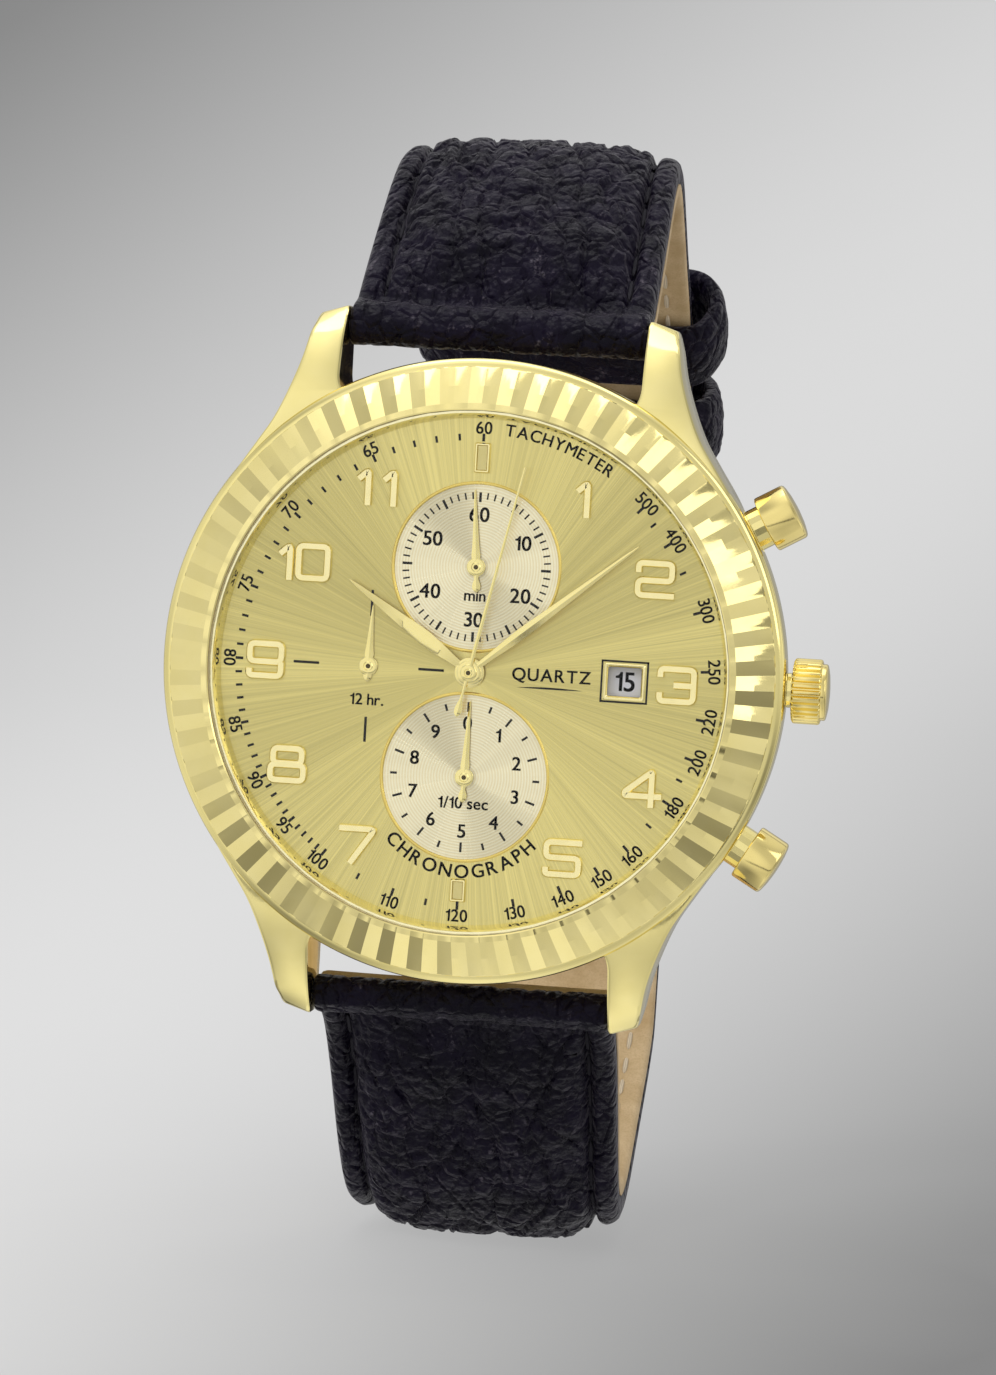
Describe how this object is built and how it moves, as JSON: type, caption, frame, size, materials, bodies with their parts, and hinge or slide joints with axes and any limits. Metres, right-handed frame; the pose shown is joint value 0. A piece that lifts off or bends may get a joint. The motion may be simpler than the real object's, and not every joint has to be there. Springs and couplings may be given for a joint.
{
  "type": "chronograph wristwatch",
  "caption": "Round fluted-bezel quartz chronograph wristwatch with crown, two pushers, sub-dials, date window, and a padded leather strap closed by a pin buckle.",
  "frame": {"origin": "centre of the case back's flat outer face", "axes": "+X towards 3 o'clock and the crown, +Z towards 12 o'clock, +Y out of the case back, so the dial looks along -Y"},
  "size_m": [0.044, 0.0611, 0.0757],
  "materials": {
    "gold_plate": "pale yellow gold plating, mirror polished",
    "dial_champagne": "champagne sunburst, fine radial brushing under clear lacquer",
    "steel": "satin stainless steel",
    "crystal": "clear polished mineral glass",
    "movement_brass": "fine brushed brass",
    "white_plastic": "satin nylon",
    "seal_rubber": "matt black rubber",
    "circuit_green": "solder-masked board",
    "coil_copper": "enamelled copper wire",
    "date_white": "matt white printing ground",
    "black_leather": "padded grained calf, blue-black, semi-gloss",
    "tan_lining": "smooth tan lining leather, matt"
  },
  "bodies": {
    "case": {"mid_case": "gold_plate", "bezel": "gold_plate", "crystal": "crystal", "crystal_gasket": "white_plastic", "flange_ring": "gold_plate", "case_back": "steel", "case_back_gasket": "seal_rubber", "dial": "dial_champagne", "date_frame": "gold_plate", "marker_12": "gold_plate", "numeral_1": "gold_plate", "numeral_2": "gold_plate", "numeral_3": "gold_plate", "numeral_4": "gold_plate", "numeral_5": "gold_plate", "marker_6": "gold_plate", "numeral_7": "gold_plate", "numeral_8": "gold_plate", "numeral_9": "gold_plate", "numeral_10": "gold_plate", "numeral_11": "gold_plate", "movement_holder": "white_plastic", "main_plate": "movement_brass", "circuit_board": "circuit_green", "battery": "steel", "coil": "coil_copper", "stator": "steel", "crown_tube": "steel", "start_pusher_tube": "steel", "start_pusher_spring": "steel", "reset_pusher_tube": "steel", "reset_pusher_spring": "steel", "spring_bar_12": "steel", "spring_bar_6": "steel", "strap_12_leather": "black_leather", "strap_12_lining": "tan_lining", "strap_6_leather": "black_leather", "strap_6_lining": "tan_lining", "fixed_keeper": "black_leather", "buckle_bar": "steel"},
    "crown_seal": {"crown_gasket": "seal_rubber"},
    "crown": {"crown": "gold_plate", "setting_stem": "steel"},
    "start_pusher": {"start_pusher": "gold_plate"},
    "reset_pusher": {"reset_pusher": "gold_plate"},
    "minute_hand": {"minute_hand": "gold_plate", "cannon_pinion": "steel"},
    "hour_hand": {"hour_hand": "gold_plate", "hour_wheel": "movement_brass"},
    "minute_wheel": {"minute_wheel": "movement_brass"},
    "second_hand": {"second_hand": "gold_plate"},
    "minute_counter": {"minute_counter_hand": "gold_plate"},
    "hour_counter": {"hour_counter_hand": "gold_plate"},
    "tenth_counter": {"tenth_counter_hand": "gold_plate"},
    "rotor": {"rotor": "steel"},
    "date_wheel": {"date_wheel": "date_white"},
    "buckle_frame": {"buckle_frame": "gold_plate"},
    "buckle_tongue": {"buckle_tongue": "gold_plate"},
    "free_keeper": {"free_keeper": "black_leather"}
  },
  "joints": [
    {"name": "crown_pull", "type": "slide", "parent": "case", "child": "crown_seal", "axis": [1, 0, 0], "range_m": [0, 0.001]},
    {"name": "crown_turn", "type": "hinge", "parent": "crown_seal", "child": "crown", "pos_m": [0.022, -0.0049, 0], "axis": [1, 0, 0], "continuous": true},
    {"name": "start_push", "type": "slide", "parent": "case", "child": "start_pusher", "axis": [-0.866, 0, -0.5], "range_m": [0, 0.0008], "stiffness_N_per_m": 500, "deforming": ["start_pusher_spring"]},
    {"name": "reset_push", "type": "slide", "parent": "case", "child": "reset_pusher", "axis": [-0.866, 0, 0.5], "range_m": [0, 0.0008], "stiffness_N_per_m": 500, "deforming": ["reset_pusher_spring"]},
    {"name": "minute_turn", "type": "hinge", "parent": "case", "child": "minute_hand", "pos_m": [0, -0.0088, 0], "axis": [0, 1, 0], "continuous": true},
    {"name": "hour_turn", "type": "hinge", "parent": "case", "child": "hour_hand", "pos_m": [0, -0.0085, 0], "axis": [0, 1, 0], "continuous": true},
    {"name": "minute_wheel_turn", "type": "hinge", "parent": "case", "child": "minute_wheel", "pos_m": [-0.00184, -0.0069, -0.00184], "axis": [0, 1, 0], "continuous": true},
    {"name": "second_turn", "type": "hinge", "parent": "case", "child": "second_hand", "pos_m": [0, -0.009, 0], "axis": [0, 1, 0], "continuous": true},
    {"name": "minute_counter_turn", "type": "hinge", "parent": "case", "child": "minute_counter", "pos_m": [0, -0.0082, 0.0069], "axis": [0, 1, 0], "continuous": true},
    {"name": "hour_counter_turn", "type": "hinge", "parent": "case", "child": "hour_counter", "pos_m": [-0.00675, -0.0082, 0], "axis": [0, 1, 0], "continuous": true},
    {"name": "tenth_counter_turn", "type": "hinge", "parent": "case", "child": "tenth_counter", "pos_m": [0, -0.0082, -0.0069], "axis": [0, 1, 0], "continuous": true},
    {"name": "rotor_turn", "type": "hinge", "parent": "case", "child": "rotor", "pos_m": [0.0055, -0.0038, -0.0054], "axis": [0, 1, 0], "continuous": true},
    {"name": "date_turn", "type": "hinge", "parent": "case", "child": "date_wheel", "pos_m": [0, -0.0073, 0], "axis": [0, 1, 0], "continuous": true},
    {"name": "buckle_frame_lift", "type": "hinge", "parent": "case", "child": "buckle_frame", "pos_m": [0, 0.04295, 0.007], "axis": [1, 0, 0], "range_deg": [0, 2.5]},
    {"name": "tongue_lift", "type": "hinge", "parent": "buckle_frame", "child": "buckle_tongue", "pos_m": [0, 0.04295, 0.007], "axis": [1, 0, 0], "range_deg": [0, 2]},
    {"name": "free_keeper_slide", "type": "hinge", "parent": "case", "child": "free_keeper", "pos_m": [0, 0.0225, 0.0095], "axis": [1, 0, 0], "range_deg": [-3, 8]}
  ],
  "couplings": [
    {"joint": "hour_turn", "follows": "minute_turn", "ratio": 0.083333},
    {"joint": "minute_wheel_turn", "follows": "minute_turn", "ratio": -0.33333},
    {"joint": "hour_counter_turn", "follows": "minute_counter_turn", "ratio": 0.083333}
  ]
}
